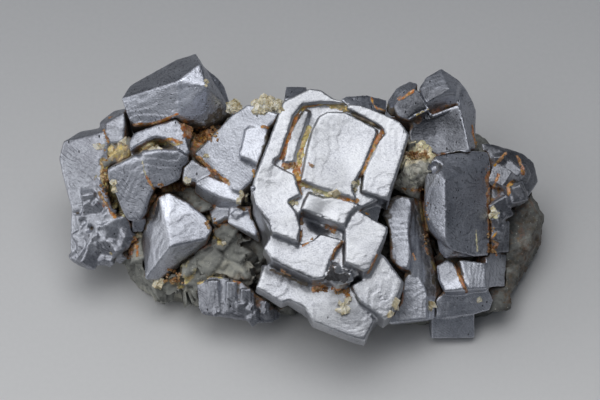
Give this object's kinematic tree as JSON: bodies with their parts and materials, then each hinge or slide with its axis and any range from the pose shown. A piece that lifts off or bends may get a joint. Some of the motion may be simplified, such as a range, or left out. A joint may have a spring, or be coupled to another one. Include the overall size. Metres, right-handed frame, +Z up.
{
  "type": "skeletal galena specimen",
  "caption": "Cluster of blocky, stepped, lead-grey galena crystals with hoppered faces and rust-filled seams, grown on a lump of dark host rock, lying on its flat broken underside.",
  "frame": {"origin": "middle of the specimen's bounding box in X and Y, on the surface that its flat underside rests on", "axes": "+X along the longest extent, to the right when the display side is seen; +Z up; the display side faces up and towards -Y"},
  "size_m": [0.123, 0.0798, 0.0453],
  "materials": {
    "galena": "metallic lead-grey, finely pitted",
    "host_rock": "rough, broken",
    "calcite": "translucent, waxy"
  },
  "bodies": {
    "root": {"galena_middle": "galena", "galena_right_cube": "galena", "galena_right_foot": "galena", "galena_column": "galena", "galena_corner": "galena", "galena_inner_left": "galena", "galena_middle_left": "galena", "galena_peak": "galena", "galena_left": "galena", "galena_upper_right": "galena", "galena_upper_ledge": "galena", "galena_right_end": "galena", "galena_grooved": "galena", "galena_back_left": "galena", "galena_back_middle": "galena", "galena_back_right": "galena", "calcite_tuft": "calcite", "calcite_bead": "calcite", "host_rock": "host_rock"}
  },
  "joints": []
}
